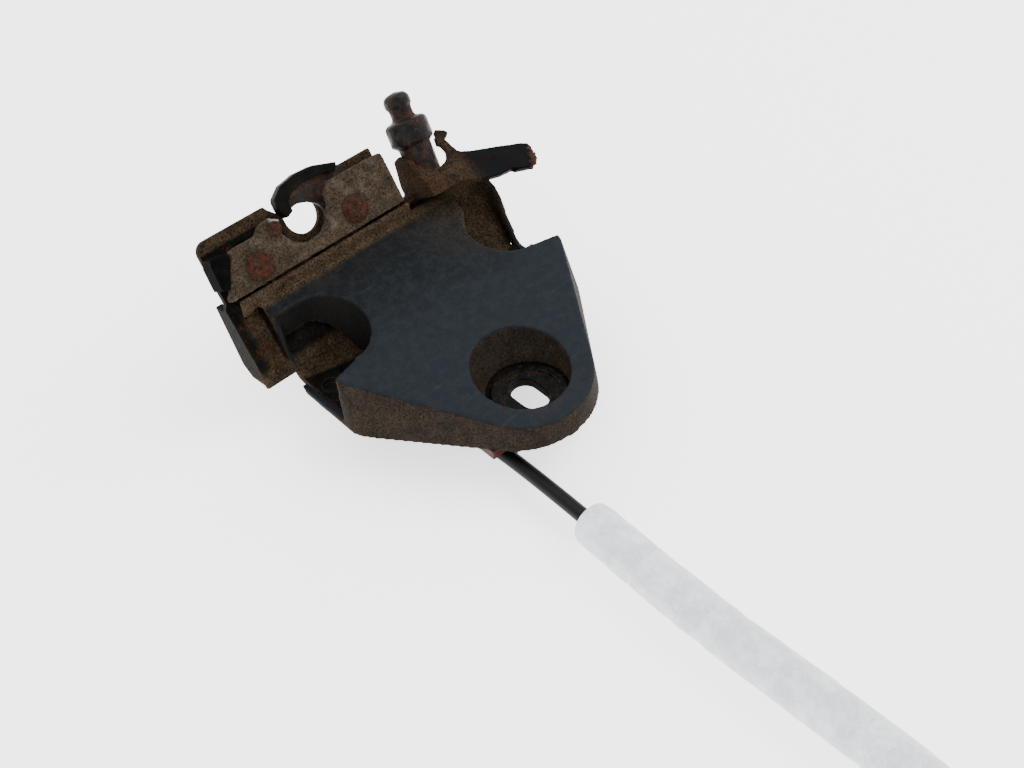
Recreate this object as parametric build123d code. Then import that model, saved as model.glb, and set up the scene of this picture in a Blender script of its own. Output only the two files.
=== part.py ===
from build123d import *
import math
import os

os.makedirs("parts", exist_ok=True)

# A car door lock: a bent steel plate carries a claw latch on its inclined face, a striker
# guide pin beside it, a plastic cover in front, a plastic housing behind and a release cable.
# Millimetres. The base lies flat with its underside at z = 0, +Y runs from the single slotted
# hole at the tip towards the latch head and +Z points out of the cover.
# Everything is drawn from the axis of the tip slot and moved once, on saving, so that the
# datum of the finished part is midway between the two side fixing holes.

# Mounting plate
plate_t = 2.5
face_tilt = 55.4          # inclined face, measured up from the base
fold_y = 79.3             # line where the inclined face leaves the cover
fold_z = 27.6
side_hole_x = 42.8
side_hole_y = 51.0
side_hole_r = 3.4
tip_slot_w = 9.5
tip_slot_l = 14.5
flange_lip = 7.0

# Cover: a V with a round tip, drafted walls and a sloping top
rim_half = 29.2           # half width of the rim on the tip slot's axis
rim_slope = 0.749
rim_side_x = 50.4
rim_tip_r = 26.9
rim_corner_r = 9.0
top_half = 26.4
top_slope = 0.628
top_side_x = 49.2
top_tip_r = 25.2
top_corner_r = 0.8
top_z = 12.6              # top surface over the tip slot's axis
top_rise = 0.201
wall_t = 2.3
part_gap = 0.3
scallop_x = 39.2
scallop_y = 51.8          # middle of the pocket at its floor; it leans back going up
scallop_r = 14.3
scallop_mouth_y = 35.3
scallop_lean = 0.1
strip_end_x = 31.5        # right end of the strip behind the scallop
recess_top_r = 16.6
recess_top_y = 3.85
recess_floor_r = 13.4
lip_rise = 5.8            # upstanding lip in front of the latch head, above the fold
lip_ahead = 5.1           # and in front of it
lip_t = 1.7
lip_start_x = -56.0
lip_end_x = 15.0
ridge_inner_x = 47.8      # low wall down each side of the inclined face

# Latch head, drawn on the inclined face: x across, m up the face, h off the face
latch_gap = 5.5           # between the back and the front plate
moving_h = 0.4            # claw and pawl start this far off the back plate
moving_t = 2.6
claw_x, claw_m = -4.8, 9.9
pawl_x, pawl_m = -44.5, 9.3
pivot_r = 3.5
pivot_clearance = 0.06
rivet_head_r = 4.8
rivet_head_t = 2.1
claw_travel = 58.0
pawl_ratio = 0.3          # pawl turn for each unit of claw turn
tooth_x, tooth_m = -10.9, -1.6
tooth_r = 2.0
tooth_gap = 0.35
tooth_angle = 29.0
stud_x, stud_m = -27.0, 0.6
stud_r = 2.0
cable_h = -7.0            # release cable behind the inclined face

# Guide pin, leaning a little outwards
pin_x, pin_m, pin_h = 28.0, 11.5, 3.7
pin_lean = 5.5
ledge_m = 3.0             # seat of the pin on its bracket
shaft_r, shaft_top = 5.8, 6.3
collar_r, collar_l = 7.7, 9.4
neck_r, neck_l = 4.0, 4.5
head_r, head_l = 4.75, 5.6
bracket_lean = 60.0        # front sheet of the pin's bracket, leaning back over the pin
bracket_front = 14.5

# Release cable
conduit_r = 2.6
bore_fit = 0.1
foam_r = 7.6
cable_z = -7.4
floor_z = cable_z - foam_r
core_r = 0.8
ferrule_r, ferrule_l = 4.0, 7.5
nipple_half_m = 3.0
nipple_top_fit = 0.5

tilt = math.radians(face_tilt)
up_face = Vector(0, math.cos(tilt), math.sin(tilt))
off_face = Vector(0, -math.sin(tilt), math.cos(tilt))
face = Plane(origin=(0, fold_y, fold_z), x_dir=(1, 0, 0), z_dir=off_face)
datum = Pos(0, -side_hole_y, 0)


def save(node, *shapes):
    solids = [solid for shape in shapes for solid in shape.solids()]
    moved = [datum * solid for solid in solids]
    export_step(moved[0] if len(moved) == 1 else Compound(children=moved), f"parts/{node}.step")


def face_point(x, m, h):
    """A point of the inclined face's own axes in the drawing axes."""
    return Vector(x, fold_y, fold_z) + up_face * m + off_face * h


def outline(points, rounds=None):
    """A closed polygon; rounds maps the number of a corner to its radius."""
    sketch = make_face(Polyline(*points, close=True))
    for number, radius in (rounds or {}).items():
        corner = Vector(*points[number])
        nearest = min(sketch.vertices(), key=lambda v: (Vector(v.X, v.Y, 0) - corner).length)
        sketch = fillet(nearest, radius)
    return sketch


def slab(sketch, low, high):
    """A sketch raised from one height to another."""
    return Pos(0, 0, low) * extrude(sketch, amount=high - low)


def on_face(sketch, low, high):
    """A sketch in x and m made solid between two heights off the inclined face."""
    return face.location * slab(sketch, low, high)


def disc(x, m, radius):
    return Pos(x, m) * Circle(radius)


def link(first, second, radius):
    """A round-ended bar between two points."""
    (x0, m0), (x1, m1) = first, second
    length = math.hypot(x1 - x0, m1 - m0)
    turn = math.degrees(math.atan2(m1 - m0, x1 - x0))
    middle = Pos((x0 + x1) / 2, (m0 + m1) / 2) * Rot(0, 0, turn)
    return middle * SlotOverall(length + 2 * radius, 2 * radius)


def dome_head(radius, height):
    """A low rivet head standing on z = 0."""
    return chamfer(
        extrude(Circle(radius), amount=height).faces().sort_by(Axis.Z)[-1].edges(),
        length=height * 0.7,
        length2=height * 0.9,
    )


# Mounting plate: a flat base bent up into the inclined face
def v_outline(half, slope, side_x, tip_r, corner_r, inset, back_y):
    """The V with a round tip and parallel sides, all walls moved in by the inset."""
    half = half - inset * math.hypot(1, slope)
    side_x = side_x - inset
    corner_y = (side_x - half) / slope
    points = [
        (0, -half / slope),
        (side_x, corner_y),
        (side_x, back_y),
        (-side_x, back_y),
        (-side_x, corner_y),
    ]
    small = max(corner_r - inset, 0.6)
    return outline(points, {0: tip_r - inset, 1: small, 4: small})


plate_inset = wall_t + part_gap
bend_y = fold_y - (fold_z - plate_t) / math.tan(tilt)
base_outline = v_outline(
    rim_half, rim_slope, rim_side_x, rim_tip_r, rim_corner_r, plate_inset, bend_y + 8
)
tip_slot = Rot(0, 0, 90) * SlotOverall(tip_slot_l, tip_slot_w)
side_holes = [disc(x, side_hole_y, side_hole_r) for x in (-side_hole_x, side_hole_x)]

strike_slot = outline(
    [(-26.3, 30), (-34, 30), (-30.0, 23.0), (-26.3, 19.0), (-26.3, 16.2),
     (-26.3, 9.7), (-13.3, 9.7), (-13.3, 30)],
    {5: 6.4, 6: 6.4, 3: 3.0},
)
face_outline = outline(
    [(-47.8, -36), (-47.8, -28.5), (-59.5, -28.5), (-59.5, 1.0), (-58.2, 3.0), (-58.2, 24.4),
     (14.0, 24.4), (14.0, 1.0), (17.0, -1.0), (52.0, -1.0), (52.0, -28.0), (47.8, -31.0),
     (47.8, -36)],
    {5: 4.0, 9: 6.0, 7: 2.0},
)
stud_end = (
    Vector(stud_x - pawl_x, stud_m - pawl_m).rotate(Axis.Z, -claw_travel * pawl_ratio)
    + Vector(pawl_x, pawl_m)
)
stud_window = link((stud_x, stud_m), (stud_end.X, stud_end.Y), stud_r + 0.8)

sheet_section = Polyline(
    (-40, 0),
    (bend_y + plate_t * math.tan(tilt / 2), 0),
    (fold_y + up_face.Y * 30 - off_face.Y * plate_t, fold_z + up_face.Z * 30 - off_face.Z * plate_t),
    (fold_y + up_face.Y * 30, fold_z + up_face.Z * 30),
    (bend_y, plate_t),
    (-40, plate_t),
    close=True,
)
sheet = extrude(Plane.YZ * make_face(sheet_section), amount=70, both=True)
bend_edges = sheet.edges().filter_by(Axis.X).sort_by(Axis.Z)
inner_bend = [e for e in bend_edges if abs(e.center().Y - bend_y) < 0.1 and e.center().Z > 1]
sheet = fillet(inner_bend, 2.0)
outer_bend = [e for e in sheet.edges().filter_by(Axis.X) if e.center().Z < 0.1 and e.center().Y > bend_y]
sheet = fillet(outer_bend, 2.0 + plate_t)

base_cut = slab(base_outline, -1, plate_t + 1)
face_cut = on_face(face_outline, -plate_t - 1, 1)
low_part = Pos(0, 0, 3.4 / 2 - 0.9) * Box(200, 300, 3.4)
plate = sheet & (face_cut + (base_cut & low_part))
lip_plane = Plane(origin=face_point(-59.5, 0, 0), x_dir=up_face, z_dir=(1, 0, 0))
lip_points = [(-28.5, 0), (-24.0, -9.5), (-19.0, -11.5), (3.0, -flange_lip), (0.0, 0)]
lip = extrude(lip_plane * make_face(Polyline(*[(m, h) for m, h in lip_points], close=True)), amount=plate_t)
plate = plate + lip
plate = plate - slab(tip_slot, -1, 5)
for hole in side_holes:
    plate = plate - slab(hole, -1, 5)
plate = plate - on_face(strike_slot, -5, 3)
plate = plate - on_face(stud_window, -5, 3)
pivots = {"claw": (claw_x, claw_m), "pawl": (pawl_x, pawl_m)}
for x, m in pivots.values():
    plate = plate - on_face(disc(x, m, pivot_r), -5, 3)
print("plate", plate.is_valid, round(plate.volume), len(plate.solids()))


# Cover
def cover_body(inset):
    """The cover as a block, or with an inset the hollow inside it."""
    back_y = fold_y + 4
    rise = math.hypot(1, top_rise)
    rim = v_outline(rim_half, rim_slope, rim_side_x, rim_tip_r, rim_corner_r, inset, back_y)
    top = v_outline(top_half, top_slope, top_side_x, top_tip_r, top_corner_r, inset, back_y * rise)
    top_plane = Plane(origin=(0, 0, top_z - inset), x_dir=(1, 0, 0), z_dir=(0, -top_rise, 1))
    body = loft([rim.face(), (top_plane * top).face()], ruled=True)
    return split(body, Plane.XY.offset(fold_z - inset), keep=Keep.BOTTOM)


def scallop(side, grow):
    """The pocket round a side fixing bolt, open to the side."""
    x = side * scallop_x
    pocket = disc(x, scallop_y, scallop_r + grow)
    mouth = make_face(
        Polyline(
            (x, scallop_y - scallop_r - grow),
            (side * top_side_x, scallop_mouth_y - grow),
            (side * 70, scallop_mouth_y - grow - 2),
            (side * 70, scallop_y + scallop_r + grow),
            (x, scallop_y + scallop_r + grow),
            close=True,
        )
    )
    leaning = Vector(0, scallop_lean, 1)
    return Pos(0, 0, plate_t) * extrude(pocket + mouth, amount=60, dir=leaning)


def recess(grow):
    """The funnel over the tip slot."""
    top_plane = Plane(
        origin=(0, recess_top_y, top_z + top_rise * recess_top_y),
        x_dir=(1, 0, 0),
        z_dir=(0, -top_rise, 1),
    )
    funnel = loft([Circle(recess_floor_r + grow).face(), (top_plane * Circle(recess_top_r + grow)).face()])
    return funnel + slab(Circle(recess_floor_r + grow), -1, 0.01)


past_strip = Box(60, 60, 60, align=(Align.MIN, Align.MIN, Align.MIN))
hollow = cover_body(wall_t)
hollow = hollow - scallop(-1, wall_t) - scallop(1, wall_t) - recess(wall_t)
hollow = hollow - Pos(strip_end_x - wall_t, scallop_y + 6, plate_t) * past_strip
cover = cover_body(0) - scallop(-1, 0) - scallop(1, 0) - recess(0) - hollow
cover = cover - Pos(strip_end_x, scallop_y + 8, plate_t) * past_strip
ridge_section = Polyline(
    (fold_y - 3.3, fold_z - 0.7), (fold_y - 4.5, fold_z - 0.9), (fold_y - 10.5, fold_z - 3.3),
    (fold_y - 13.7, fold_z - 7.6), (fold_y - 15.1, fold_z - 14.0), (fold_y - 17.9, fold_z - 19.6),
    (fold_y - 20.1, fold_z - 23.8), (fold_y - 22.8, fold_z - 26.4), (fold_y - 22.8, 0),
    (fold_y + 4.7, 0), (fold_y + 4.7, fold_z - 0.7), close=True,
)
ridge = extrude(Plane.YZ * make_face(ridge_section), amount=rim_side_x - ridge_inner_x + 1)
for side in (-1, 1):
    near_side = ridge_inner_x if side > 0 else -rim_side_x - 1
    cover = cover + (Pos(near_side, 0, 0) * ridge & cover_body(0))
lip_bottom_z = fold_z - 1.5
lip_top_z = fold_z + lip_rise
lip_front_y = fold_y - lip_ahead
lip_section = Polyline(
    (lip_front_y + 0.5, lip_bottom_z),
    (lip_front_y, lip_top_z - 0.6),
    (lip_front_y + 0.4, lip_top_z),
    (lip_front_y + lip_t, lip_top_z),
    (lip_front_y + lip_t, lip_bottom_z),
    close=True,
)
lip_run = extrude(Plane.YZ * make_face(lip_section), amount=lip_end_x - lip_start_x)
cover = cover + Pos(lip_start_x, 0, 0) * lip_run
cover = split(cover, face.offset(0.02), keep=Keep.TOP)
moving_room = outline([(-52, -40), (8, -40), (8, 12), (-52, 12)])
cover = cover - on_face(moving_room, -1, moving_h + moving_t + part_gap)
bracket_notch = outline([(16, -1.4), (36, -1.4), (36, 6), (16, 6)])
cover = cover - on_face(bracket_notch, -1, 14)
wider_base = v_outline(
    rim_half, rim_slope, rim_side_x, rim_tip_r, rim_corner_r, plate_inset - part_gap, bend_y + 8
)
cover = cover - slab(wider_base, -1, plate_t) - plate
print("cover", cover.is_valid, round(cover.volume), len(cover.solids()))

washer_r = 12.7
slot_washer = slab(Circle(washer_r), plate_t, plate_t + 0.8)
slot_washer = slot_washer + slab(Circle(washer_r) - Circle(washer_r - 2.6), plate_t, plate_t + 1.7)
slot_washer = slot_washer - slab(Rot(0, 0, 90) * SlotOverall(tip_slot_l + 0.6, tip_slot_w + 0.6), 0, 9)

# Latch head
front_low = 3.5
liner_x = pawl_x - 7.5     # where the liner block meets the front plate's left edge
front_outline = outline(
    [(liner_x - 8.3, front_low), (13.5, front_low), (13.5, 22.0), (-9.5, 22.4), (-12.1, 19.6),
     (-12.6, 16.0), (-15.2, 11.6), (-19.6, 8.1), (-25.6, 8.1), (-29.8, 10.2), (-32.6, 15.0),
     (-30.8, 19.4), (-34.2, 21.2), (-38.2, 20.8), (-41.0, 18.4), (liner_x, 18.4),
     (liner_x, 16.0), (liner_x - 5.1, 7.1)],
    {0: 1.0, 2: 1.5, 4: 2.0, 6: 3.0, 7: 3.5, 8: 3.5, 9: 3.0, 10: 3.0, 13: 1.5, 15: 1.5},
)
front_plate = on_face(front_outline, latch_gap, latch_gap + plate_t)
for x, m in pivots.values():
    front_plate = front_plate - on_face(disc(x, m, pivot_r), 0, 12)

liner_outline = outline(
    [(liner_x - 7.7, 8.4), (liner_x - 5.6, 7.4), (liner_x - 0.3, 16.2), (liner_x - 0.3, 18.2),
     (liner_x - 6.3, 18.8), (liner_x - 7.3, 16.4)],
    {4: 0.8},
)
latch_liner = on_face(liner_outline, 0, 8.6)
latch_liner = chamfer(latch_liner.faces().sort_by(Axis(origin=(0, 0, 0), direction=off_face))[-1].edges(), 0.5)

claw_outline = outline(
    [(2.8, 6.0), (3.2, 14.0), (2.2, 23.4), (-3.6, 26.4), (-10.0, 28.4), (-17.0, 28.8),
     (-23.3, 27.6), (-27.3, 24.8), (-27.8, 21.4), (-26.5, 18.4), (-23.9, 19.7), (-20.6, 20.3),
     (-16.6, 19.0), (-13.6, 16.8), (-12.6, 13.6), (-14.2, 10.2), (-17.2, 8.2), (-23.2, 7.2),
     (-24.6, 5.2), (-23.4, 3.0), (-17.0, 1.8), (-13.4, 1.2), (-12.7, 0.0), (tooth_x, tooth_m),
     (-7.6, -1.2), (-2.0, 2.4)],
    {9: 0.8, 12: 2.0, 13: 2.0, 14: 2.0, 15: 2.0, 18: 1.2, 2: 1.5},
)
claw_outline = claw_outline + disc(tooth_x, tooth_m, tooth_r) + disc(claw_x, claw_m, 7.9)
claw_top = moving_h + moving_t
claw = on_face(claw_outline - disc(claw_x, claw_m, pivot_r + pivot_clearance), moving_h, claw_top)
band_outline = outline(
    [(-1.6, 26.2), (-10.2, 29.0), (-17.2, 29.4), (-23.6, 28.2), (-27.9, 25.2), (-28.4, 21.2),
     (-26.7, 17.7), (-23.9, 19.0), (-23.4, 22.6), (-21.2, 24.6), (-16.0, 25.6), (-9.6, 25.2),
     (-3.4, 23.6)],
    {5: 1.2, 6: 0.8, 8: 1.0, 9: 1.5},
)
claw_overmould = on_face(band_outline, moving_h, latch_gap - 0.4) - on_face(claw_outline, 0, claw_top)

tip_step = tooth_r * 2 + tooth_gap
tip_x = tooth_x - tip_step * math.cos(math.radians(tooth_angle))
tip_m = tooth_m - tip_step * math.sin(math.radians(tooth_angle))
pawl_outline = (
    disc(pawl_x, pawl_m, 6.2)
    + link((pawl_x + 2, pawl_m - 3.0), (-30, 0.9), 3.2)
    + link((-32, 1.2), (tip_x, tip_m), tooth_r)
    + disc(stud_x, stud_m - 0.3, 3.0)
)
pawl_outline = pawl_outline - disc(pawl_x, pawl_m, pivot_r + pivot_clearance) - disc(stud_x, stud_m, stud_r)
pawl = on_face(pawl_outline, moving_h, claw_top)
stud_end_h = cable_h - 3.2
pawl_stud = on_face(disc(stud_x, stud_m, stud_r), stud_end_h, claw_top)


def pivot_rivet(x, m):
    """A stepped rivet through both latch plates, with domed heads."""
    front_h = latch_gap + plate_t
    shank = on_face(disc(x, m, pivot_r), -plate_t, front_h)
    shoulder = on_face(disc(x, m, pivot_r + 0.9), claw_top + 0.1, latch_gap)
    front_head = face.location * Pos(x, m, front_h) * dome_head(rivet_head_r, rivet_head_t)
    back_head = face.location * Pos(x, m, -plate_t) * Rot(180, 0, 0) * dome_head(rivet_head_r, rivet_head_t)
    return shank + shoulder + front_head + back_head


def torsion_spring(x, m, first_leg, second_leg):
    """One turn of wire round a rivet's shoulder, with a straight leg at each end."""
    wire_r = 0.55
    coil_r = pivot_r + 0.9 + wire_r + 0.3
    level = claw_top + part_gap + wire_r + 0.15
    start = Vector(coil_r, 0).rotate(Axis.Z, first_leg)
    end = Vector(coil_r, 0).rotate(Axis.Z, second_leg)
    centre = Vector(x, m)
    along_start = Vector(0, -1).rotate(Axis.Z, first_leg)
    along_end = Vector(0, 1).rotate(Axis.Z, second_leg)
    sweep_angle = second_leg - first_leg
    line = (
        Line(centre + start + along_start * 7, centre + start)
        + CenterArc(centre, coil_r, first_leg, sweep_angle)
        + Line(centre + end, centre + end + along_end * 7)
    )
    profile = Plane(origin=line @ 0, z_dir=line % 0) * Circle(wire_r)
    return face.location * Pos(0, 0, level) * sweep(profile, path=line)


claw_spring = torsion_spring(claw_x, claw_m, -60, 200)
pawl_spring = torsion_spring(pawl_x, pawl_m, -20, 235)

# Guide pin and its folded bracket
pin_axis = (up_face * math.cos(math.radians(pin_lean)) + Vector(1, 0, 0) * math.sin(math.radians(pin_lean)))
pin_seat = face_point(pin_x, pin_m, pin_h) - pin_axis * ((pin_m - ledge_m) / math.cos(math.radians(pin_lean)))
pin_plane = Plane(origin=pin_seat, x_dir=off_face, z_dir=pin_axis)
seat_to_shaft = (pin_m - ledge_m) / math.cos(math.radians(pin_lean))
shaft_l = seat_to_shaft + shaft_top
ledge_t = plate_t
tail_t = 0.8
collar_end = shaft_l + collar_l
head_start = collar_end + neck_l
head_end = head_start + head_l
pin_section = outline(
    [(0, -ledge_t - tail_t), (shaft_r - 1.2, -ledge_t - tail_t), (shaft_r - 1.2, -ledge_t),
     (neck_r, -ledge_t), (neck_r, 0), (shaft_r, 0),
     (shaft_r, shaft_l), (collar_r, shaft_l + 1.5), (collar_r, collar_end - 0.4),
     (neck_r, collar_end + 0.4), (neck_r, head_start - 0.2), (head_r, head_start + 0.6),
     (head_r, head_end - 1.2), (0, head_end)],
    {7: 0.8, 8: 2.0, 9: 1.4, 10: 0.8, 11: 0.5, 12: 2.6},
)
locating_pin = pin_plane.location * revolve(Plane.XZ * pin_section, axis=Axis.Z)

bracket_t = 2.5
lean = math.radians(bracket_lean)
lean_out = up_face * math.cos(lean) + off_face * math.sin(lean)
lean_plane = Plane(origin=face_point(0, 0, 0) + lean_out * bracket_front, x_dir=(1, 0, 0), z_dir=lean_out)
side_x = 20.5
ledge_end_x = 37.5
ledge = on_face(
    outline([(side_x - 4, ledge_m - ledge_t), (ledge_end_x, ledge_m - ledge_t), (ledge_end_x, ledge_m), (side_x - 4, ledge_m)]),
    -plate_t - bracket_t, 20)
ledge = split(ledge, lean_plane.offset(-0.5), keep=Keep.BOTTOM)
ledge_trim = on_face(outline([(side_x - 10, -9), (side_x, -9), (side_x, 9), (side_x - 10, 9)]), 0.5, 25)
ledge = ledge - ledge_trim
tongue_outline = outline(
    [(side_x - 6.5, -11.5), (30.0, -11.5), (ledge_end_x, -4.0), (ledge_end_x, ledge_m), (side_x - 6.5, ledge_m)],
    {0: 2, 1: 2},
)
tongue = on_face(tongue_outline, -plate_t - bracket_t, -plate_t)
arm_outline = outline(
    [(20.5, 5.5), (20.5, -4.4), (25.2, -5.0), (29.7, -6.5), (37.0, -9.8), (41.6, -11.8), (46.2, -13.0),
     (51.1, -13.4), (52.3, -14.6), (57.3, -16.4), (61.4, -14.4), (61.6, -12.4), (63.3, -10.2),
     (63.1, -8.2), (61.1, -6.9), (53.1, -3.5), (43.4, 0.2), (39.2, 2.4), (38.6, 6.2), (38.3, 9.1),
     (40.5, 10.0), (41.2, 10.9), (40.2, 12.2), (37.5, 14.0), (36.0, 11.9), (34.7, 9.0),
     (35.6, 8.2), (35.8, 5.1), (34.4, 3.0), (32.0, 1.5), (29.7, 1.0), (27.0, 1.3), (25.4, 2.3),
     (23.8, 4.4), (22.4, 6.4)],
    {17: 2.0, 19: 0.6, 21: 0.8, 23: 0.8, 24: 3.0, 9: 1.0, 12: 1.0, 27: 2.0, 28: 2.0},
)
arm = lean_plane.location * slab(arm_outline, -bracket_t, 0)
wall_plane = Plane(origin=face_point(side_x, 0, 0), x_dir=up_face, z_dir=(1, 0, 0))
wall_section = outline(
    [(ledge_m - ledge_t, -plate_t - bracket_t), (ledge_m - ledge_t, 13.5), (4.6, 13.6), (12.1, 9.6), (13.9, 9.4),
     (16.8, 3.0), (15.6, -1.0), (ledge_m + 3, -plate_t - bracket_t)],
    {4: 0.8, 5: 1.5, 6: 1.5},
)
side_wall = wall_plane.location * slab(wall_section, 0, 2.2)
round_shaft = pin_plane.location * slab(Circle(shaft_r + 0.4), 0.05, shaft_l + 1)
round_collar = pin_plane.location * slab(Circle(collar_r + 0.6), shaft_l - 0.6, head_end)
pin_hole = pin_plane.location * slab(Circle(neck_r), -9, 9)
seat_flat = pin_plane.location * slab(Circle(shaft_r + 0.05), -0.01, 4)
under_flat = pin_plane.location * slab(Circle(shaft_r), -ledge_t - 3, -ledge_t)
pin_bracket = tongue + ledge + side_wall + arm - round_shaft - round_collar
pin_bracket = pin_bracket - pin_hole - seat_flat - under_flat
bracket_rivet_at = [(18.0, -7.0), (26.0, -7.0)]
bracket_rivets = []
for x, m in bracket_rivet_at:
    shank = on_face(disc(x, m, 2.0), -plate_t - bracket_t, 0)
    front_head = face.location * Pos(x, m, 0) * dome_head(3.2, 1.4)
    back_head = face.location * Pos(x, m, -plate_t - bracket_t) * Rot(180, 0, 0) * dome_head(3.2, 1.4)
    bracket_rivets.append(shank + front_head + back_head)
    hole = on_face(disc(x, m, 2.0), -8, 2)
    plate = plate - hole
    pin_bracket = pin_bracket - hole
print("bracket", pin_bracket.is_valid, len(pin_bracket.solids()), "pin", locating_pin.is_valid)

# Release cable: nipple on the pawl's stud, core, ferrule and its bracket
stud_drop = stud_m - stud_end.Y
stud_shift = stud_x - stud_end.X
nipple_slot = link((stud_x, stud_m), (stud_x - stud_shift, stud_m), stud_r + 0.3)
nipple_outline = outline(
    [(stud_x - stud_shift - 4.2, stud_m - nipple_half_m), (stud_x + 4.0, stud_m - nipple_half_m),
     (stud_x + 4.0, stud_m + nipple_half_m), (stud_x - stud_shift - 4.2, stud_m + nipple_half_m)],
    {0: 1, 1: 1, 2: 1, 3: 1},
)
nipple_low, nipple_high = cable_h - 2.0, cable_h + 2.0
core_nipple = on_face(nipple_outline - nipple_slot, nipple_low, nipple_high)
core_x = stud_x - stud_shift / 2
travel = stud_drop
ferrule_top_m = stud_m - nipple_half_m - travel - nipple_top_fit
ferrule_end_m = ferrule_top_m - ferrule_l
cable_plane = Plane(origin=face_point(core_x, ferrule_end_m, cable_h), x_dir=(1, 0, 0), z_dir=up_face)
ferrule = slab(Circle(ferrule_r), 0, ferrule_l)
ferrule = ferrule - slab(Circle(ferrule_r) - Circle(ferrule_r - 1.0), 3.0, 3.0 + 1.6)
ferrule = ferrule - slab(Circle(core_r + 0.25), -1, ferrule_l + 1)
conduit_ferrule = cable_plane.location * ferrule
core_end = 1.2
core_start = ferrule_l + nipple_top_fit + travel
cable_core = cable_plane.location * slab(Circle(core_r), ferrule_l - core_end, core_start)

stand_off = -cable_h - plate_t
groove_at = 3.0
groove_w = 1.6
bracket_half = 10.0
wall_plate = Rectangle(2 * bracket_half, stand_off + 5.5, align=(Align.CENTER, Align.MIN))
wall_plate = Pos(0, -stand_off) * wall_plate - Circle(ferrule_r - 1.0)
wall_plate = wall_plate - Rectangle(2 * (ferrule_r - 1.0), 20, align=(Align.CENTER, Align.MIN))
cable_bracket = slab(wall_plate, groove_at, groove_at + groove_w)
foot_w = bracket_half - ferrule_r - 0.6
for side in (-1, 1):
    foot = Rectangle(foot_w, groove_w, align=(Align.CENTER, Align.MIN))
    foot = Pos(side * (bracket_half - foot_w / 2), -stand_off) * foot
    cable_bracket = cable_bracket + slab(foot, -5.0, groove_at + groove_w)
cable_bracket = cable_plane.location * cable_bracket

# Route of the conduit: down behind the face, under the base and out past the tip
half_bend = tilt / 2
low_line = Vector(0, -math.cos(half_bend), -math.sin(half_bend))
route_start = face_point(core_x, ferrule_end_m, cable_h)
bend_run = (route_start.Z - cable_z) / (math.sin(tilt) + math.sin(half_bend))
bend_1 = route_start - up_face * bend_run
bend_2 = bend_1 + low_line * bend_run
route = [
    route_start,
    bend_1,
    Vector(core_x + 0.6, bend_2.Y, cable_z),
    Vector(-23.5, 30, cable_z),
    Vector(-17.9, 3, cable_z),
    Vector(-17.3, -20, cable_z),
    Vector(-18.4, -62, cable_z),
    Vector(-19.5, -95, cable_z),
    Vector(-18.2, -128, cable_z),
    Vector(-17.6, -158, cable_z),
    Vector(-18.7, -186, cable_z),
    Vector(-18.2, -216, cable_z),
]


def corner_radii(points):
    """The largest arc each corner has room for."""
    radii = []
    for before, here, after in zip(points, points[1:], points[2:]):
        run = min((here - before).length, (after - here).length)
        turn = math.radians((here - before).get_angle(after - here))
        radii.append(0.45 * run / math.tan(turn / 2))
    return radii


def tube(line, outer, inner=0.0):
    """A round bar or tube along a line."""
    section = Plane(origin=line @ 0, z_dir=line % 0)
    ring = Circle(outer) - Circle(inner) if inner else Circle(outer)
    return sweep(section * ring, path=line)


radii = corner_radii(route)
conduit_line = FilletPolyline(*route, radius=radii)
cable_conduit = tube(conduit_line, conduit_r)
core_room = Plane(origin=route_start + up_face, x_dir=(1, 0, 0), z_dir=-up_face)
cable_conduit = cable_conduit - core_room.location * slab(Circle(core_r + 0.25), 0, travel - ferrule_l + core_end + 3.0)
print("conduit radii", [round(r) for r in radii])
print("conduit", cable_conduit.is_valid, round(cable_conduit.volume), round(math.pi * conduit_r**2 * conduit_line.length),
      "length", round(conduit_line.length, 1))

foam_start_y, foam_end_y = -44.5, -203.0


def on_run(first, second, y):
    """The point at the given y on the run between two route points."""
    share = (y - first.Y) / (second.Y - first.Y)
    return first + (second - first) * share


foam_route = [on_run(route[5], route[6], foam_start_y)]
foam_route = foam_route + route[6:-1]
foam_route = foam_route + [on_run(route[-2], route[-1], foam_end_y)]
foam_line = FilletPolyline(*foam_route, radius=radii[5:])
foam_sleeve = tube(foam_line, foam_r, conduit_r + 0.15)
print("foam", foam_sleeve.is_valid, round(foam_sleeve.volume),
      round(math.pi * (foam_r**2 - (conduit_r + 0.15)**2) * foam_line.length))

far_plane = Plane(origin=conduit_line @ 1, x_dir=(0, 0, 1), z_dir=conduit_line % 1)
far_l = 14.0
far_ferrule = slab(Circle(3.4), 0, far_l) - slab(Circle(3.4) - Circle(2.6), 5, 7) - slab(Circle(core_r + 0.2), 2, far_l + 1)
far_ferrule = far_plane.location * far_ferrule
far_core_l = 24.0
far_core = far_plane.location * slab(Circle(core_r), 3, far_l + far_core_l)
far_nipple = far_plane.location * Pos(0, 0, far_l + far_core_l) * Rot(90, 0, 0) * slab(Circle(2.6), -3.5, 3.5)
far_nipple = far_nipple - far_core

# Red clip that holds the conduit under the tip of the plate
clip_y = -1.0
clip_l = 7.2
clip_x = on_run(route[4], route[5], clip_y - clip_l / 2).X
clip_stem_r = 1.6
clip_pad = Pos(clip_x - 0.6, clip_y - clip_l, -3.6) * Box(11.2, clip_l, 3.6, align=(Align.CENTER, Align.MIN, Align.MIN))
clip_ring = Plane.XZ * (Circle(conduit_r + 1.5) & Pos(0, -4) * Rectangle(20, 20, align=(Align.MIN, Align.MIN)))
clip_hook = Pos(clip_x, clip_y, cable_z) * extrude(clip_ring, amount=clip_l)
stem_y = -3.4
stem_x = clip_x - 1.6
clip_stem = Pos(stem_x, stem_y, 0) * slab(Circle(clip_stem_r), -0.5, plate_t + 3.0)
clip_barb = Pos(stem_x, stem_y, plate_t + 0.2) * Cone(clip_stem_r + 0.5, 0.8, 2.8, align=(Align.CENTER, Align.CENTER, Align.MIN))
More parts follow.
